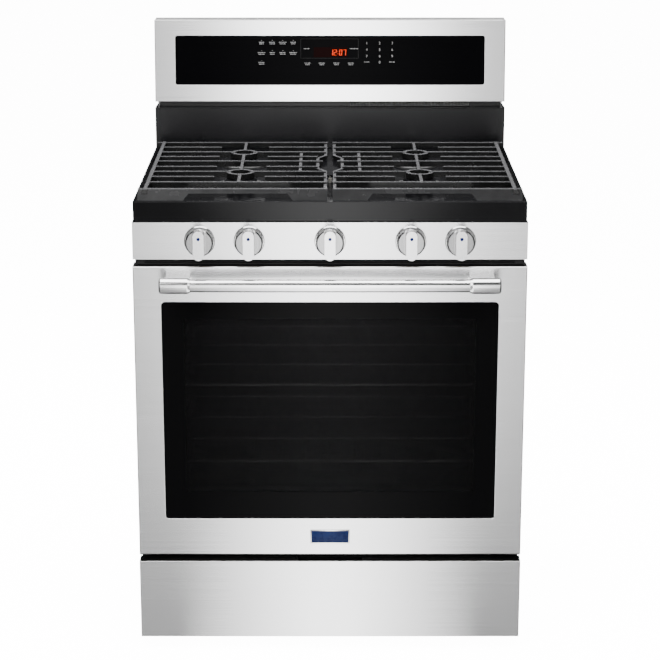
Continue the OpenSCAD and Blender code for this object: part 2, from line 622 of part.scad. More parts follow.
// Round skirt with a tall grip blade across it
module knob(k) color("silver") translate([knob_xs[k - 1], 0, knob_z]) difference() {
  union() {
    translate([0, knob_back, 0]) rotate([90, 0, 0]) rotate_extrude()
      polygon([[0, 0], [knob_d / 2 - 1, 0], [knob_d / 2, 1.5], [knob_d / 2, 8], [knob_d / 2 - 3, 12], [0, 12]]);
    translate([0, knob_back - 11, 0]) rotate([90, 0, 0]) linear_extrude(knob_back - 11 - knob_front)
      polygon([for (p = oval(10.5, knob_d / 2 + 1.5 - 10.5)) p]);
  }
  rod_y(0, 0, knob_front + 12 - 2, knob_back + e, spindle_r + run);
}
module spindle_1() spindle(1);
module spindle_2() spindle(2);
module spindle_3() spindle(3);
module spindle_4() spindle(4);
module spindle_5() spindle(5);
module knob_1() knob(1);
module knob_2() knob(2);
module knob_3() knob(3);
module knob_4() knob(4);
module knob_5() knob(5);

base_frame();
levelling_feet();
side_panels();
back_panel();
oven_base_pan();
oven_front_frame();
oven_floor();
oven_side_walls();
oven_roof();
oven_rear_wall();
rack_guides();
oven_gasket();
bake_burner();
broil_burner();
oven_lamp();
fan_cover();
fan_motor();
hinge_receivers();
drawer_rails();
front_vent_trim();
control_panel();
knob_bezels();
gas_manifold();
gas_valves();
gas_regulator();
burner_tubes();
cooktop();
burner_heads();
burner_caps();
igniters();
riser();
fascia();
control_glass();
control_board();
rear_cover();
fan_blade();
door_skin();
door_glass();
door_liner();
inner_glass();
door_hinges();
handle_bar();
handle_ends();
drawer_front();
drawer_top_trim();
drawer_pan();
upper_rack();
lower_rack();
left_grate();
right_grate();
spindle_1();
spindle_2();
spindle_3();
spindle_4();
spindle_5();
knob_1();
knob_2();
knob_3();
knob_4();
knob_5();
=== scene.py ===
import json
import math

import bmesh
import bpy
from mathutils import Matrix, Vector


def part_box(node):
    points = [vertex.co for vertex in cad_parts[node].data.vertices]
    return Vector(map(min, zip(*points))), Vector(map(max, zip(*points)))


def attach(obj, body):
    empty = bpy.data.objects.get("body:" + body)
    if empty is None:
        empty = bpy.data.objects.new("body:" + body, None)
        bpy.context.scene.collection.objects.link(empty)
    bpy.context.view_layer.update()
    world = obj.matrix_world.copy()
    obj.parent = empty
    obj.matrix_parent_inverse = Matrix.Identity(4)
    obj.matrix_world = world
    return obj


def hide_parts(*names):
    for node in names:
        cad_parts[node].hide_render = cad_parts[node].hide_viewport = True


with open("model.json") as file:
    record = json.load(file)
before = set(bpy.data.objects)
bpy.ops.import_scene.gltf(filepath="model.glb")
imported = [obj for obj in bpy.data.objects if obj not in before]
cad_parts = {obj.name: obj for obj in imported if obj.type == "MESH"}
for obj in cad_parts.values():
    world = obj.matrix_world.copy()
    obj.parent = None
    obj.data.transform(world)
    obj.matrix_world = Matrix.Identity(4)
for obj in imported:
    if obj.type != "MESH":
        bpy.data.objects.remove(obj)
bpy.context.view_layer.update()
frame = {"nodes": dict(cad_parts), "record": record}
body_of = {n: b for b, ns in frame["record"]["behaviour"]["bodies"].items() for n in ns}


# Floor rails, side panels and rear sheets: galvanised or painted steel sheet, folded and spot
# welded. Every later piece stands on these, so the way of easing a sheet's edges and of writing
# a finish is defined here.
class Wire:
    """A value inside a finish. Arithmetic on it adds Math nodes."""

    def __init__(self, tree, socket):
        self.tree, self.socket = tree, socket

    def math(self, operation, other=None, flip=False):
        n = self.tree.nodes.new("ShaderNodeMath")
        n.operation = operation
        for place, v in zip(n.inputs, (other, self) if flip else (self, other)):
            if isinstance(v, Wire):
                self.tree.links.new(v.socket, place)
            elif v is not None:
                place.default_value = v
        return Wire(self.tree, n.outputs[0])

    def __add__(self, o):
        return self.math("ADD", o)

    def __sub__(self, o):
        return self.math("SUBTRACT", o)

    def __rsub__(self, o):
        return self.math("SUBTRACT", o, True)

    def __mul__(self, o):
        return self.math("MULTIPLY", o)

    def __truediv__(self, o):
        return self.math("DIVIDE", o)

    def __gt__(self, o):
        return self.math("GREATER_THAN", o)

    def __lt__(self, o):
        return self.math("LESS_THAN", o)

    __radd__ = __add__
    __rmul__ = __mul__


class Finish:
    """A procedural material. Fixed values go straight onto the shader's own sockets."""

    def __init__(self, name, **fixed):
        self.mat = bpy.data.materials.new(name)
        self.mat.use_nodes = True
        self.tree = self.mat.node_tree
        self.shader = self.tree.nodes["Principled BSDF"]
        for k, v in fixed.items():
            socket = self.shader.inputs[k.replace("_", " ")]
            socket.default_value = (*v, 1) if isinstance(v, tuple) else v

    def node(self, kind, values=None, out=0, **settings):
        n = self.tree.nodes.new("ShaderNode" + kind)
        for k, v in settings.items():
            if k == "stops":
                ramp = n.color_ramp
                while len(ramp.elements) < len(v):
                    ramp.elements.new(0.5)
                for el, (at, tone) in zip(ramp.elements, v):
                    el.position = at
                    el.color = (*tone, 1) if isinstance(tone, tuple) else (tone, tone, tone, 1)
            else:
                setattr(n, k, v)
        for k, v in (values or {}).items():
            if isinstance(v, Wire):
                self.tree.links.new(v.socket, n.inputs[k])
            else:
                socket = n.inputs[k]
                colour = isinstance(v, tuple) and len(socket.default_value) == 4
                socket.default_value = (*v, 1) if colour else v
        return Wire(self.tree, n.outputs[out])

    def place(self, x=1.0, y=1.0, z=1.0):
        here = self.node("TexCoord", out=3)
        return self.node("Mapping", {0: here, 3: (x, y, z)})

    def xyz(self):
        n = self.tree.nodes.new("ShaderNodeSeparateXYZ")
        self.tree.links.new(self.node("TexCoord", out=3).socket, n.inputs[0])
        return [Wire(self.tree, o) for o in n.outputs]

    def noise(self, at, scale, detail=2.0, rough=0.5):
        values = {"Vector": at, "Scale": scale, "Detail": detail, "Roughness": rough}
        return self.node("TexNoise", values)

    def ramp(self, value, *stops):
        return self.node("ValToRGB", {0: value}, stops=stops)

    def mix(self, factor, a, b):
        return self.node("Mix", {0: factor, 6: a, 7: b}, out=2, data_type="RGBA")

    def feed(self, **links):
        for k, v in links.items():
            self.tree.links.new(v.socket, self.shader.inputs[k.replace("_", " ")])
        return self

    def bump(self, height, distance, strength=1.0):
        values = {"Height": height, "Distance": distance, "Strength": strength}
        return self.feed(Normal=self.node("Bump", values))


def galvanised(name, light=0.42):
    f = Finish(name, Metallic=0.85)
    flakes = f.node("TexVoronoi", {"Vector": f.place(), "Scale": 95.0}, out=1)
    flake = f.node("SeparateColor", {0: flakes})
    dust = f.noise(f.place(), 14.0, 4.0)
    tone = flake * 0.1 + dust * 0.14
    f.feed(Base_Color=f.ramp(tone, (0.0, light * 0.75), (0.2, light)), Roughness=tone * 0.6 + 0.34)
    return f.bump(flake, 0.00004, 0.4)


def cabinet_paint(name):
    f = Finish(name, Specular_IOR_Level=0.4)
    peel = f.noise(f.place(), 900.0, 2.0)
    scuff = f.noise(f.place(1, 1, 3), 9.0, 6.0, 0.65)
    f.feed(Base_Color=f.ramp(scuff, (0.3, (0.017, 0.017, 0.018)), (0.75, (0.028, 0.028, 0.03))),
           Roughness=scuff * 0.2 + 0.3)
    return f.bump(peel, 0.00006, 0.35)


def mesh_of(name, bm):
    """The finished form as a mesh."""
    mesh = bpy.data.meshes.new(name)
    bm.to_mesh(mesh)
    bm.free()
    return mesh


def stand(name, mesh, finish):
    """An object of this mesh in this finish, at the origin."""
    obj = bpy.data.objects.new(name, mesh)
    bpy.context.scene.collection.objects.link(obj)
    mesh.materials.append(finish.mat)
    return obj


def eased(node, width, finish, steps=3, rule=None, angle=32):
    """A copy of a CAD node with its corners eased, standing for that node."""
    bm = bmesh.new()
    bm.from_mesh(frame["nodes"][node].data)
    bmesh.ops.remove_doubles(bm, verts=bm.verts, dist=2e-6)
    bmesh.ops.dissolve_limit(bm, angle_limit=math.radians(0.4), verts=bm.verts, edges=bm.edges,
                             delimit={"NORMAL"})
    if rule:
        layer = bm.edges.layers.float.new("bevel_weight_edge")
        for edge in bm.edges:
            if len(edge.link_faces) == 2 and edge.calc_face_angle(0) > math.radians(angle):
                edge[layer] = rule(*[v.co for v in edge.verts])
    mesh = mesh_of(node + "_eased", bm)
    mesh.shade_smooth()
    obj = stand(node + "_eased", mesh, finish)
    bevel = obj.modifiers.new("eased", "BEVEL")
    bevel.width, bevel.segments = width, steps
    bevel.limit_method = "WEIGHT" if rule else "ANGLE"
    bevel.angle_limit = math.radians(angle)
    flat = obj.modifiers.new("flat_faces", "WEIGHTED_NORMAL")
    flat.mode, flat.weight = "FACE_AREA", 100
    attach(obj, body_of[node])
    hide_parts(node)
    return obj


def coat(finish, *nodes):
    """Gives CAD nodes that keep their own mesh this finish."""
    for n in nodes:
        data = frame["nodes"][n].data
        data.materials.clear()
        data.materials.append(finish.mat)


zinc = galvanised("galvanised_sheet")
zinc_dark = galvanised("galvanised_rear", 0.55)
side_paint = cabinet_paint("side_panel_paint")
eased("base_frame", 0.0005, zinc, 2)
eased("oven_base_pan", 0.0005, zinc, 2)
eased("back_panel", 0.0004, zinc_dark, 2)
eased("side_panels", 0.0005, side_paint, 2)
eased("drawer_rails", 0.0005, zinc, 2)

# Levelling feet: hard black nylon pads with a hexagon, on threaded steel stems screwed into the
# floor rails.
nylon = Finish("foot_nylon", Specular_IOR_Level=0.35)
grain = nylon.noise(nylon.place(), 1600.0, 2.0)
nylon.feed(Base_Color=nylon.ramp(grain, (0.3, 0.012), (0.8, 0.022)), Roughness=grain * 0.25 + 0.45)
nylon.bump(grain, 0.00005, 0.5)
eased("levelling_feet", 0.0008, nylon)

# Oven liner: speckled porcelain enamel on steel, with a woven rope seal round its mouth, bare
# steel burners, the lamp under its glass and the slotted cover over the fan.
enamel = Finish("speckled_enamel", Coat_Weight=0.35, Coat_Roughness=0.12)
fleck = enamel.node("TexVoronoi", {"Vector": enamel.place(), "Scale": 520.0})
soot = enamel.noise(enamel.place(), 7.0, 5.0)
spots = enamel.ramp(fleck, (0.06, (0.3, 0.31, 0.34)), (0.14, (0.028, 0.029, 0.034)))
enamel.feed(Base_Color=enamel.mix(soot * 0.5, spots, (0.016, 0.0165, 0.02)),
            Roughness=soot * 0.25 + 0.16)
enamel.bump(enamel.noise(enamel.place(), 240.0), 0.00008, 0.25)
for piece in ("oven_front_frame", "oven_floor", "oven_side_walls", "oven_roof", "oven_rear_wall"):
    eased(piece, 0.0005, enamel, 2)
eased("rack_guides", 0.0018, enamel)
eased("fan_cover", 0.0008, enamel)

rope = Finish("glass_rope", Sheen_Weight=0.3)
strands = rope.node("TexWave", {"Vector": rope.place(1, 0.4, 1), "Scale": 190.0, "Distortion": 1.5},
                    bands_direction="DIAGONAL")
rope.feed(Base_Color=rope.ramp(strands, (0.1, 0.11), (0.8, 0.3)), Roughness=strands * 0.1 + 0.8)
rope.bump(strands, 0.0006)
eased("oven_gasket", 0.002, rope)

tube_steel = Finish("aluminised_tube", Metallic=0.9)
heat = tube_steel.noise(tube_steel.place(), 22.0, 4.0)
tempered = tube_steel.ramp(heat, (0.3, (0.3, 0.29, 0.28)), (0.7, (0.48, 0.47, 0.45)))
tube_steel.feed(Base_Color=tempered, Roughness=heat * 0.3 + 0.32)
tube_steel.bump(tube_steel.noise(tube_steel.place(), 800.0), 0.00005, 0.4)
coat(tube_steel, "bake_burner", "broil_burner", "fan_blade", "burner_tubes")
coat(galvanised("motor_can", 0.3), "fan_motor", "hinge_receivers", "gas_manifold")

lamp = Finish("lamp_lens", Transmission_Weight=0.7, IOR=1.46, Base_Color=(0.9, 0.88, 0.82))
ripple = lamp.node("TexWave", {"Vector": lamp.place(), "Scale": 120.0}, wave_type="RINGS")
lamp.feed(Roughness=ripple * 0.15 + 0.08)
lamp.bump(ripple, 0.0003, 0.5)
coat(lamp, "oven_lamp")

# Oven racks: nickel plated steel wire, welded at every crossing. They run on the ledges of the
# rack guides.
nickel = Finish("rack_nickel", Metallic=1.0)
haze = nickel.noise(nickel.place(), 60.0, 3.0)
nickel.feed(Base_Color=nickel.ramp(haze, (0.3, (0.6, 0.59, 0.57)), (0.75, (0.76, 0.75, 0.73))),
            Roughness=haze * 0.2 + 0.12)
nickel.bump(nickel.noise(nickel.place(), 700.0), 0.00003, 0.3)
coat(nickel, "upper_rack", "lower_rack")

# Gas valves and their stems: machined brass, screwed onto the square gas rail; the regulator is
# a cast aluminium box at the wall.
brass = Finish("machined_brass", Metallic=1.0)
turning = brass.noise(brass.place(900, 60, 900), 2.0, 3.0)
brass.feed(Base_Color=brass.ramp(turning, (0.3, (0.5, 0.37, 0.15)), (0.7, (0.67, 0.52, 0.25))),
           Roughness=turning * 0.3 + 0.2)
brass.bump(turning, 0.00003, 0.5)
coat(brass, "gas_valves", *["spindle_%d" % k for k in range(1, 6)])
casting = Finish("cast_aluminium", Metallic=0.95)
pores = casting.noise(casting.place(), 420.0, 5.0, 0.6)
tint = casting.noise(casting.place(), 18.0, 3.0)
casting.feed(Base_Color=casting.ramp(tint, (0.3, (0.4, 0.4, 0.4)), (0.7, (0.56, 0.56, 0.56))),
             Roughness=pores * 0.35 + 0.3)
casting.bump(pores, 0.00015, 0.5)
coat(casting, "gas_regulator")
# Burner heads: cast aluminium painted near black, as painted shade for the shadow they sit in under
# the grates.
shaded_head_metal = Finish("burner_head_painted_shade", Metallic=0.6)
head_mottle = shaded_head_metal.noise(shaded_head_metal.place(), 60.0, 4.0)
shaded_head_metal.feed(Base_Color=shaded_head_metal.ramp(head_mottle, (0.3, 0.05), (0.7, 0.12)),
                Roughness=head_mottle * 0.3 + 0.4)
shaded_head_metal.bump(shaded_head_metal.noise(shaded_head_metal.place(), 500.0), 0.0001, 0.5)
coat(shaded_head_metal, "burner_heads")

# Cooktop and riser: pressed steel under gloss black porcelain enamel, with a rolled front lip
# and a raised rim that holds spills.
def black_enamel(name, level, rough):
    f = Finish(name, Specular_IOR_Level=level)
    film = f.noise(f.place(), 5.0, 4.0)
    f.feed(Base_Color=f.ramp(film, (0.3, (0.0035, 0.0035, 0.004)), (0.8, (0.008, 0.008, 0.009))),
           Roughness=film * 0.08 + rough)
    return f.bump(f.noise(f.place(), 26.0), 0.00008, 0.1)


porcelain = black_enamel("black_porcelain", 0.1, 0.06)
riser_enamel = black_enamel("riser_porcelain", 0.34, 0.2)
cook_low, cook_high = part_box("cooktop")


def lip_rule(a, b):
    front = abs(a.y - b.y) < 1e-4 and min(a.y, b.y) < cook_low.y + 0.0125
    if front and min(a.z, b.z) > cook_high.z - 0.0012:
        return 0.3
    return 0.12


eased("cooktop", 0.005, porcelain, 3, lip_rule)
eased("riser", 0.0006, riser_enamel, 3)
coat(porcelain, "burner_caps")
white_ceramic = Finish("igniter_ceramic", Coat_Weight=0.3)
glaze = white_ceramic.noise(white_ceramic.place(), 300.0, 3.0)
cream = white_ceramic.ramp(glaze, (0.3, (0.3, 0.28, 0.25)), (0.7, (0.42, 0.4, 0.37)))
white_ceramic.feed(Base_Color=cream, Roughness=glaze * 0.2 + 0.3)
coat(white_ceramic, "igniters")

# Grates: two enamelled iron castings, each in one piece with its sloping skirts and its feet,
# which stand loose on the cooktop. The bar tops and the faces that turn upwards carry a painted
# highlight, a lighter grey in place of the glossy lines that light draws on them.
iron = Finish("enamelled_iron", Specular_IOR_Level=0.3)
sand = iron.noise(iron.place(), 650.0, 4.0, 0.6)
mottle = iron.noise(iron.place(), 30.0, 4.0)
grate_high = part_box("left_grate")[1].z
# Painted highlight: faces that turn upwards and the top 1.2 mm of the bars are mixed to a lighter
# grey.
facing_up = iron.node("SeparateXYZ", {0: iron.node("NewGeometry", out=1)}, out=2)
upward_faces_highlight = iron.ramp(facing_up, (0.3, 0.0), (0.4, 0.24), (0.46, 0.24), (0.56, 1.0))
bar_top_highlight = iron.xyz()[2] > grate_high - 0.0012
painted_highlight = upward_faces_highlight.math("MAXIMUM", bar_top_highlight) * (mottle * 0.7 + 0.65)
black = iron.ramp(mottle, (0.3, 0.005), (0.8, 0.01))
iron.feed(Base_Color=iron.mix(painted_highlight, black, (0.075, 0.075, 0.078)), Roughness=mottle * 0.16 + 0.18)
iron.bump(sand, 0.00008, 0.2)
for side in ("left_grate", "right_grate"):
    eased(side, 0.0014, iron, 2)

# Control panel: brushed stainless, folded over at its edges, above a black vent trim. The door
# skin, the drawer front and the fascia have the same grain, from side to side.
def brushed(name, low=0.58, high=0.68, across=(3.0, 900.0, 900.0), base=0.17):
    f = Finish(name, Metallic=1.0)
    hair = f.noise(f.place(*across), 1.0, 6.0, 0.7)
    streak = f.noise(f.place(*[a * 0.4 for a in across]), 1.0, 4.0, 0.6)
    tone = hair * 0.7 + streak * 0.3
    dark, light = (low, low, low * 1.005), (high, high, high * 1.005)
    f.feed(Base_Color=f.ramp(tone, (0.32, dark), (0.68, light)),
           Roughness=hair * 0.07 + base + 0.025)
    return f.bump(hair, 0.00002, 0.3)


steel = brushed("brushed_steel")
panel_low, panel_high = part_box("control_panel")


def fold_rule(low, high, top, side):
    """Weights for a folded sheet: the outer front edges are rounded, the rest only eased."""

    def rule(a, b):
        on_front = max(a.y, b.y) < low.y + 0.0002
        if on_front and min(a.z, b.z) > high.z - 0.0003:
            return top
        at_side = min(abs(a.x), abs(b.x)) > high.x - 0.0003
        if on_front and (at_side or max(a.z, b.z) < low.z + 0.0003):
            return side
        return 0.3 if on_front else 0.1

    return rule


eased("control_panel", 0.0045, steel, 4, fold_rule(panel_low, panel_high, 1.0, 0.6))
trim_black = Finish("trim_black", Specular_IOR_Level=0.12)
fine = trim_black.noise(trim_black.place(), 1200.0, 2.0)
trim_black.feed(Base_Color=trim_black.ramp(fine, (0.3, 0.005), (0.8, 0.01)),
                Roughness=fine * 0.2 + 0.35)
eased("front_vent_trim", 0.0006, trim_black)

# Knobs: solid metal skirts with a tall grip blade, satin on the faces and brushed upwards, each
# on a polished ring, with a small blue pointer dot near the blade's top. The skirts are painted
# dark as painted shade, so the blade stands out lighter.
ring_chrome = Finish("ring_chrome", Metallic=1.0)
swirl = ring_chrome.noise(ring_chrome.place(), 240.0, 3.0)
ring_chrome.feed(Base_Color=ring_chrome.ramp(swirl, (0.3, 0.42), (0.7, 0.56)),
                 Roughness=swirl * 0.12 + 0.08)
coat(ring_chrome, "knob_bezels")
# Painted shade: this brushed grain is far darker than steel and is kept only on the skirt; the
# blade is mixed to a flat lighter grey.
knob_metal = brushed("knob_metal", 0.19, 0.28, (600.0, 600.0, 12.0), 0.17)
skirt_depth = 0.0125
blade = knob_metal.xyz()[1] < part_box("knob_3")[1].y - skirt_depth
shaded_grain_socket = knob_metal.shader.inputs["Base Color"].links[0].from_socket
shaded_skirt_grain = Wire(knob_metal.tree, shaded_grain_socket)
knob_metal.feed(Base_Color=knob_metal.mix(blade, shaded_skirt_grain, (0.58, 0.58, 0.585)))
dot_blue = Finish("pointer_blue", Base_Color=(0.004, 0.012, 0.12), Specular_IOR_Level=0.1)
dot_blue.feed(Roughness=dot_blue.noise(dot_blue.place(), 500.0) * 0.2 + 0.2)
for k in range(1, 6):
    eased("knob_%d" % k, 0.0016, knob_metal, 4, angle=38)
    low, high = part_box("knob_%d" % k)
    mid = (low + high) / 2
    bm = bmesh.new()
    seat = Matrix.Translation((mid.x, low.y - 0.00005, mid.z + 0.0135))
    bmesh.ops.create_cone(bm, cap_ends=True, segments=32, radius1=0.0035, radius2=0.0031,
                          depth=0.0006, matrix=seat @ Matrix.Rotation(math.pi / 2, 4, "X"))
    name = "pointer_dot_%d" % k
    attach(stand(name, mesh_of(name, bm), dot_blue), "dial_%d" % k)

# Oven door: folded stainless skin round a black glass window, a porcelain liner inside with its
# own glass, and zinc plated hinge cheeks.
door_low, door_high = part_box("door_skin")
eased("door_skin", 0.0045, steel, 4, fold_rule(door_low, door_high, 1.0, 0.6))
eased("door_liner", 0.001, enamel, 2)
coat(galvanised("hinge_zinc", 0.4), "door_hinges")

lite_low, lite_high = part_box("inner_glass")
tinted = Finish("door_glass_tint", Specular_IOR_Level=0.02)
gx, gy, gz = tinted.xyz()
border = 0.01
across = gx.math("ABSOLUTE") < lite_high.x - border
inside = across * (gz > lite_low.z + border) * (gz < lite_high.z - border)
smear = tinted.noise(tinted.place(), 12.0, 4.0)
tinted.feed(Base_Color=tinted.mix(inside, (0.005, 0.005, 0.0055), (0.009, 0.009, 0.0095)),
            Alpha=1.0 - inside * 0.38, Roughness=smear * 0.04 + 0.03)
eased("door_glass", 0.001, tinted, 2)
clear_dark = Finish("inner_glass_tint", Base_Color=(0.004, 0.004, 0.005),
                    Specular_IOR_Level=0.02, Alpha=0.25)
clear_dark.feed(Roughness=clear_dark.noise(clear_dark.place(), 15.0) * 0.05 + 0.03)
eased("inner_glass", 0.001, clear_dark, 2)

# Door handle: a brushed steel tube held in a ferrule at each end, on standoffs that are screwed
# from inside the door.
tube_metal = brushed("handle_tube_metal", 0.55, 0.7, (4.0, 700.0, 700.0), 0.12)
coat(tube_metal, "handle_bar")
eased("handle_ends", 0.002, tube_metal, 4, angle=38)


def plate(name, body, finish, low, high, ease, steps=3):
    """A small solid plate with eased corners."""
    bm = bmesh.new()
    size, middle = Vector(high) - Vector(low), (Vector(high) + Vector(low)) / 2
    stretch = Matrix.Translation(middle) @ Matrix.Diagonal((*size, 1))
    bmesh.ops.create_cube(bm, size=1, matrix=stretch)
    bmesh.ops.bevel(bm, geom=bm.edges, offset=ease, segments=steps, affect="EDGES", profile=0.5)
    mesh = mesh_of(name, bm)
    mesh.shade_smooth()
    obj = stand(name, mesh, finish)
    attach(obj, body)
    return obj


# Badge and corner caps: a plain blue enamelled plate in a bright frame, riveted under the
# window, and moulded caps under the door's lower corners.
badge_blue = Finish("badge_blue", Specular_IOR_Level=0.1)
vein = badge_blue.noise(badge_blue.place(), 90.0, 3.0)
blues = badge_blue.ramp(vein, (0.3, (0.006, 0.016, 0.09)), (0.7, (0.01, 0.028, 0.13)))
badge_blue.feed(Base_Color=blues, Roughness=vein * 0.15 + 0.2)
skin = door_low.y
plate("badge_frame", "door", ring_chrome,
      (-0.039, skin - 0.0015, 0.2245), (0.039, skin, 0.2535), 0.0005)
plate("badge_plate", "door", badge_blue,
      (-0.0368, skin - 0.0021, 0.2267), (0.0368, skin - 0.001, 0.2513), 0.0004)
for s in (-1, 1):
    x0, x1 = sorted((s * 0.3575, s * 0.3785))
    plate("door_corner_cap_%s" % ("left" if s < 0 else "right"), "door", nylon,
          (x0, skin + 0.004, door_low.z - 0.0024), (x1, skin + 0.03, door_low.z), 0.0006)

# Storage drawer: stainless front, a dark cap along its top edge with the finger pull, and a
# galvanised pan on sheet runners.
drawer_low, drawer_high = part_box("drawer_front")
eased("drawer_front", 0.003, steel, 4, fold_rule(drawer_low, drawer_high, 0.4, 0.4))
eased("drawer_top_trim", 0.0005, trim_black, 2)
eased("drawer_pan", 0.0004, zinc, 2)

# Backguard: leaning stainless fascia with the control glass behind its window, a circuit board on
# pillars, and a galvanised cover over the back.
def end_rule(a, b):
    """The fascia's upright ends carry a wider fold than its other edges."""
    upright = abs(a.z - b.z) > 0.1 and min(abs(a.x), abs(b.x)) > 0.3765 and min(a.y, b.y) < 0.2905
    return 1.0 if upright else 0.45


fascia_steel = brushed("fascia_steel", base=0.09)
eased("fascia", 0.0028, fascia_steel, 4, end_rule)
console_glass = Finish("console_glass", Base_Color=(0.002, 0.002, 0.0024), Specular_IOR_Level=0.006)
console_glass.feed(Roughness=console_glass.noise(console_glass.place(), 10.0, 3.0) * 0.05 + 0.04)
eased("control_glass", 0.0006, console_glass, 2)
board = Finish("circuit_board", Coat_Weight=0.3)
tracks = board.node("TexBrick", {"Vector": board.place(), "Scale": 90.0, "Mortar Size": 0.03})
track = board.node("SeparateColor", {0: tracks})
board.feed(Base_Color=board.mix(track, (0.012, 0.1, 0.035), (0.02, 0.16, 0.06)),
           Roughness=board.noise(board.place(), 200.0) * 0.2 + 0.35)
coat(board, "control_board")
eased("rear_cover", 0.0006, zinc_dark, 2)

LEAN = math.atan(16 / 174)
FOOT = Vector((0.0, 0.290, 1.014))
UP = Vector((0.0, math.sin(LEAN), math.cos(LEAN)))
OUT = Vector((0.0, -math.cos(LEAN), math.sin(LEAN)))


def on_glass(x, z, lift=0.00012):
    """A point on the control glass, from its place across and its height above the floor."""
    v = (z - FOOT.z) / math.cos(LEAN)
    return FOOT + Vector((x, 0, 0)) + UP * v - OUT * 0.002 + OUT * lift


def printed(name, marks, finish, lift=0.00012):
    """Flat printed marks on the control glass. Each is (x0, x1, z0, z1, slant)."""
    bm = bmesh.new()
    for x0, x1, z0, z1, slant in marks:
        corners = [(x0, z0), (x1, z0), (x1 + slant, z1), (x0 + slant, z1)]
        bm.faces.new([bm.verts.new(on_glass(x, z, lift)) for x, z in corners])
    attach(stand(name, mesh_of(name, bm), finish), "cabinet")


SEGMENTS = {"0": "abcdef", "1": "bc", "2": "abged", "7": "abc"}


def lit_digit(ch, x, z, w, h, t):
    """The lit bars of a seven segment digit whose lower left corner is x, z."""
    half, lean, gap = h / 2, 0.08, 0.0003
    bars = {"a": (0, w, h - t, h), "g": (0, w, half - t / 2, half + t / 2), "d": (0, w, 0, t),
            "f": (0, t, half, h), "b": (w - t, w, half, h),
            "e": (0, t, 0, half), "c": (w - t, w, 0, half)}
    out = []
    for s in SEGMENTS[ch]:
        x0, x1, z0, z1 = bars[s]
        left = x + z0 * lean
        out.append((left + x0, left + x1, z + z0 + gap, z + z1 - gap, (z1 - z0) * lean))
    return out


window_red = Finish("display_filter", Base_Color=(0.007, 0.0009, 0.0009), Specular_IOR_Level=0.006)
window_red.feed(Roughness=window_red.noise(window_red.place(), 30.0) * 0.05 + 0.06)
printed("display_window", [(-0.035, 0.038, 1.1085, 1.130, 0)], window_red, 0.0001)
lit = Finish("display_lit", Base_Color=(0.5, 0.03, 0.01), Specular_IOR_Level=0.02,
             Emission_Color=(1.0, 0.07, 0.015), Emission_Strength=1.3)
lit.feed(Roughness=lit.noise(lit.place(), 200.0) * 0.2 + 0.4)
marks = []
for ch, x in zip("1207", (0.000, 0.0075, 0.0195, 0.0280)):
    marks += lit_digit(ch, x, 1.1125, 0.006, 0.0128, 0.0015)
marks += [(0.0163, 0.0176, z, z + 0.0014, 0) for z in (1.1155, 1.1208)]
printed("display_digits", marks, lit, 0.0002)

# The printed label ink also glows faintly, with no lamp behind it: painted light.
ink_and_glow = Finish("label_ink_and_glow", Emission_Color=(0.7, 0.7, 0.7), Emission_Strength=0.06)
ink_and_glow.feed(Base_Color=ink_and_glow.ramp(ink_and_glow.noise(ink_and_glow.place(), 800.0), (0.3, 0.25), (0.7, 0.4)),
         Roughness=ink_and_glow.noise(ink_and_glow.place(), 400.0) * 0.2 + 0.5)


def words(x, z, wide):
    """A centred line of tiny printed blocks, in place of lettering."""
    out, at, n = [], x - wide, 0
    while at < x + wide - 0.0004:
        step = (0.0011, 0.0008, 0.0013, 0.0009)[n % 4]
        out.append((at, at + step, z, z + (0.0019, 0.0015, 0.0017)[n % 3], 0))
        at, n = at + step + (0.0011 if n % 4 == 3 else 0.0005), n + 1
    return out


marks = []
for i, x in enumerate((-0.147, -0.124, -0.1015, -0.079)):
    rows = (1.1397, 1.1178, 1.0967) if i == 0 else (1.1397, 1.1178)
    for r, z in enumerate(rows):
        wide = 0.0056 + 0.0012 * ((i + 2 * r) % 3)
        marks += words(x, z, wide) + words(x, z - 0.0034, wide * 0.8)
        marks.append((x - 0.0008, x + 0.0008, z + 0.0045, z + 0.0053, 0))
for x in (-0.0485, -0.0176, 0.014, 0.0448):
    marks += words(x, 1.0955, 0.0062) + words(x, 1.0921, 0.0045)
marks += words(-0.050, 1.1262, 0.0065) + words(0.051, 1.1262, 0.0085)
printed("panel_labels", marks, ink_and_glow)
dim_ink = Finish("display_frame_ink", Specular_IOR_Level=0.1)
fade = dim_ink.noise(dim_ink.place(), 700.0)
dim_ink.feed(Base_Color=dim_ink.ramp(fade, (0.3, 0.035), (0.7, 0.055)),
             Roughness=dim_ink.noise(dim_ink.place(), 400.0) * 0.2 + 0.5)
marks = [(-0.063, -0.0626, 1.1065, 1.1479, 0), (0.0606, 0.061, 1.1065, 1.1479, 0),
         (-0.063, 0.061, 1.1065, 1.1069, 0), (-0.063, 0.061, 1.1475, 1.1479, 0)]
printed("display_frame", marks, dim_ink)



def settled(obj):
    """The object's evaluated shape, as a plain mesh."""
    bpy.context.view_layer.update()
    return bpy.data.meshes.new_from_object(
        obj.evaluated_get(bpy.context.evaluated_depsgraph_get()))


keys = ["1", "2", "3", "4", "5", "6", "7", "8", "9", "", "0", ""]
for n, ch in enumerate(keys):
    x = (0.079, 0.1067, 0.1335)[n % 3]
    z = (1.1386, 1.1246, 1.1107, 1.0979)[n // 3]
    if not ch:
        printed("pad_bar_%d" % n, words(x, z, 0.0058), ink_and_glow)
        continue
    text = bpy.data.curves.new("pad_digit_" + ch, "FONT")
    text.body, text.size, text.align_x, text.align_y = ch, 0.0078, "CENTER", "CENTER"
    glyph = bpy.data.objects.new("glyph", text)
    bpy.context.scene.collection.objects.link(glyph)
    mesh = settled(glyph)
    bpy.data.objects.remove(glyph)
    turn = Matrix((Vector((1, 0, 0)), UP, OUT)).transposed().to_4x4()
    mesh.transform(Matrix.Translation(on_glass(x, z)) @ turn)
    mesh.materials.clear()
    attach(stand("pad_digit_" + ch, mesh, ink_and_glow), "cabinet")

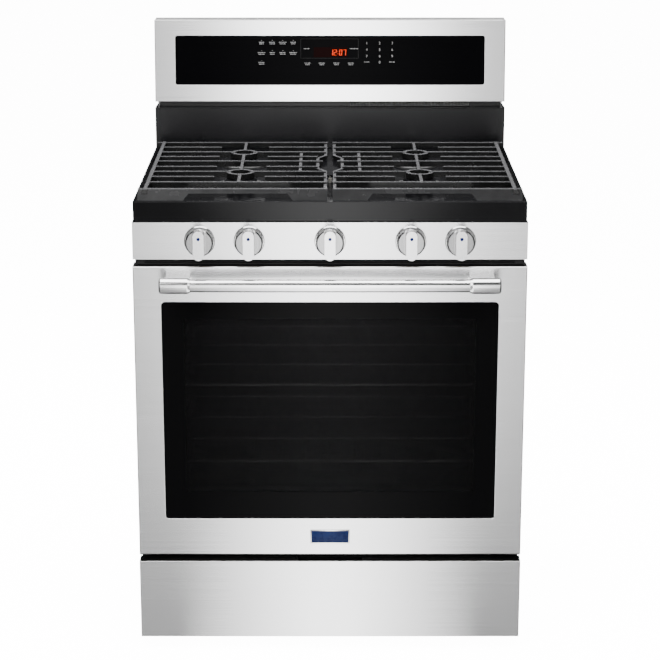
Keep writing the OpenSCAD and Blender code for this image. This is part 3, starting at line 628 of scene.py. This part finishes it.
# Vent strip in the recess under the fascia, and the pan head screws that hold the side panels to
# the frame: pressed slats and zinc plated heads, each set out evenly along a line.
def along_line(name, body, finish, count, start, end, build, turn=(0, 0, 0)):
    """Copies of one small shape set out evenly along a line, as one plain mesh."""
    tree = bpy.data.node_groups.new(name + "_rule", "GeometryNodeTree")
    tree.interface.new_socket("Geometry", in_out="OUTPUT", socket_type="NodeSocketGeometry")
    ids = {}
    for label, kind in (("Count", "Int"), ("Start", "Vector"), ("End", "Vector")):
        ids[label] = tree.interface.new_socket(label, in_out="INPUT",
                                               socket_type="NodeSocket" + kind).identifier
    given, done = tree.nodes.new("NodeGroupInput"), tree.nodes.new("NodeGroupOutput")
    line = tree.nodes.new("GeometryNodeMeshLine")
    line.mode = "END_POINTS"
    tree.links.new(given.outputs["Count"], line.inputs["Count"])
    tree.links.new(given.outputs["Start"], line.inputs["Start Location"])
    tree.links.new(given.outputs["End"], line.inputs["Offset"])
    place = tree.nodes.new("GeometryNodeInstanceOnPoints")
    tree.links.new(line.outputs[0], place.inputs["Points"])
    tree.links.new(build(tree), place.inputs["Instance"])
    place.inputs["Rotation"].default_value = turn
    real = tree.nodes.new("GeometryNodeRealizeInstances")
    paint = tree.nodes.new("GeometryNodeSetMaterial")
    paint.inputs["Material"].default_value = finish.mat
    tree.links.new(place.outputs[0], real.inputs[0])
    tree.links.new(real.outputs[0], paint.inputs[0])
    tree.links.new(paint.outputs[0], done.inputs[0])
    holder = bpy.data.objects.new(name, bpy.data.meshes.new(name + "_seed"))
    bpy.context.scene.collection.objects.link(holder)
    mod = holder.modifiers.new("rule", "NODES")
    mod.node_group = tree
    mod[ids["Count"]] = count
    mod[ids["Start"]], mod[ids["End"]] = start, end
    mesh = settled(holder)
    holder.modifiers.clear()
    mesh.name = name
    holder.data = mesh
    mesh.shade_smooth()
    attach(holder, body)
    return holder


def screw_head(tree):
    """A pan head on its washer, 8 mm across."""
    dome = tree.nodes.new("GeometryNodeMeshUVSphere")
    dome.inputs["Segments"].default_value, dome.inputs["Rings"].default_value = 16, 8
    dome.inputs["Radius"].default_value = 0.0032
    flat = tree.nodes.new("GeometryNodeTransform")
    flat.inputs["Scale"].default_value = (1, 1, 0.34)
    washer = tree.nodes.new("GeometryNodeMeshCylinder")
    for label, value in (("Vertices", 20), ("Radius", 0.0042), ("Depth", 0.0006)):
        washer.inputs[label].default_value = value
    both = tree.nodes.new("GeometryNodeJoinGeometry")
    tree.links.new(dome.outputs[0], flat.inputs[0])
    tree.links.new(flat.outputs[0], both.inputs[0])
    tree.links.new(washer.outputs[0], both.inputs[0])
    return both.outputs[0]


def slat(tree):
    """One pressed slat of the vent."""
    bar = tree.nodes.new("GeometryNodeMeshCube")
    bar.inputs["Size"].default_value = (0.0042, 0.0014, 0.0085)
    return bar.outputs[0]


# The vent's grey is raised to show light against the shade of the recess: painted light.
vent_grey = Finish("vent_grey", Specular_IOR_Level=0.4)
mote = vent_grey.noise(vent_grey.place(), 500.0, 3.0)
vent_grey.feed(Base_Color=vent_grey.ramp(mote, (0.3, 0.26), (0.7, 0.36)),
               Roughness=mote * 0.2 + 0.35)
plate("vent_strip", "cabinet", vent_grey,
      (0.044, 0.3128, 1.0015), (0.301, 0.3149, 1.0125), 0.0005)
along_line("vent_slats", "cabinet", vent_grey, 36,
           (0.049, 0.3126, 1.0068), (0.296, 0.3126, 1.0068), slat, (0, 0, 0.5))
screw_zinc = galvanised("screw_zinc", 0.5)
panel_x, lowest, highest = 0.3782, 0.09, 0.84
for s, side in ((-1, "left"), (1, "right")):
    for row, count, y in (("rear", 6, 0.353), ("front", 4, -0.236)):
        along_line("side_screws_%s_%s" % (row, side), "cabinet", screw_zinc, count,
                   (s * panel_x, y, lowest), (s * panel_x, y, highest), screw_head,
                   (0, s * math.pi / 2, 0))

# Studio: a white floor in a white room, soft boxes above, and a long white card that lies in
# front and then stands up, which only the metal and the enamel mirror. The floor is dimmer where
# it is seen through glass. None of it is part of the range.
paper = Finish("studio_paper", Roughness=0.9, Base_Color=(0.9, 0.9, 0.9), Emission_Strength=14.0)
through_glass = paper.node("LightPath", out="Transparent Depth")
paper.feed(Emission_Color=paper.ramp(through_glass, (0.0, 1.0), (1.0, 0.12)))
mesh = bpy.data.meshes.new("studio_floor")
reach = 90
mesh.from_pydata([(-reach, -reach, 0), (reach, -reach, 0), (reach, reach, 0), (-reach, reach, 0)],
                 [], [(0, 1, 2, 3)])
floor = stand("studio_floor", mesh, paper)
floor.visible_glossy = floor.visible_diffuse = False

glow = Finish("white_card", Base_Color=(0.0, 0.0, 0.0), Emission_Strength=6.5)
cx, cy, cz = glow.xyz()
upright = cz > 0.02
spread = cx.math("ABSOLUTE") / (0.33 - cy * 0.05) * (1.0 - upright * 0.15)
fall_off = glow.ramp(spread, (0.1, 1.0), (0.88, 0.09))
glow.feed(Emission_Color=fall_off * (0.75 - cy * 0.16) * (upright * 0.2 + 1.0))
mesh = bpy.data.meshes.new("white_card")
side, near, far, flat, top = 3, -0.3, -4.4, 0.004, 2.7
mesh.from_pydata([(-side, near, flat), (side, near, flat), (side, far, flat), (-side, far, flat),
                  (side, far, top), (-side, far, top)], [], [(0, 1, 2, 3), (3, 2, 4, 5)])
card = stand("white_card", mesh, glow)
card.visible_camera = card.visible_diffuse = card.visible_shadow = False

world = bpy.data.worlds.new("studio")
bpy.context.scene.world = world
world.use_nodes = True


class Air(Finish):
    """The studio's walls and ceiling: white ahead and above, darker at the sides and below."""

    def __init__(self, tree):
        self.tree, self.shader = tree, tree.nodes["Background"]


air = Air(world.node_tree)
aim = air.node("TexCoord", out=0)
sideways = air.node("SeparateXYZ", {0: aim}).math("ABSOLUTE")
height = air.node("SeparateXYZ", {0: aim}, out=2)
walls = air.ramp(sideways, (0.35, 1.0), (0.85, 0.33))
shade = air.ramp(height * 0.5 + 0.5, (0.1, 0.12), (0.34, 0.52), (0.6, 0.62), (0.85, 1.0))
seen = air.node("LightPath")
air.shader.inputs["Color"].default_value = (1.0, 1.0, 1.0, 1.0)
air.feed(Strength=seen * 15.0 + (1.0 - seen) * walls * shade * 0.085)


def softbox(name, at, towards, width, height, watts):
    data = bpy.data.lights.new(name, "AREA")
    data.shape, data.size, data.size_y, data.energy = "RECTANGLE", width, height, watts
    obj = bpy.data.objects.new(name, data)
    bpy.context.scene.collection.objects.link(obj)
    obj.location = at
    obj.rotation_euler = (Vector(towards) - Vector(at)).to_track_quat("-Z", "Y").to_euler()


softbox("key", (-2.4, -3.4, 3.6), (0, 0, 0.7), 3.0, 3.0, 200)
softbox("fill", (3.0, -3.0, 3.0), (0, 0, 0.6), 3.0, 3.0, 110)
softbox("top", (0, 0.2, 3.4), (0, -0.1, 0.9), 3.0, 3.0, 280)

camera = bpy.data.cameras.new("camera")
camera.lens, camera.sensor_width = 115.0, 36.0
camera_obj = bpy.data.objects.new("camera", camera)
bpy.context.scene.collection.objects.link(camera_obj)
eye = Vector((0.0, -4.225, 1.755))
camera_obj.location = eye
pitch = math.radians(15.5)
camera_obj.rotation_euler = (math.pi / 2 - pitch, 0, 0)
bpy.context.scene.camera = camera_obj

bpy.context.view_layer.update()
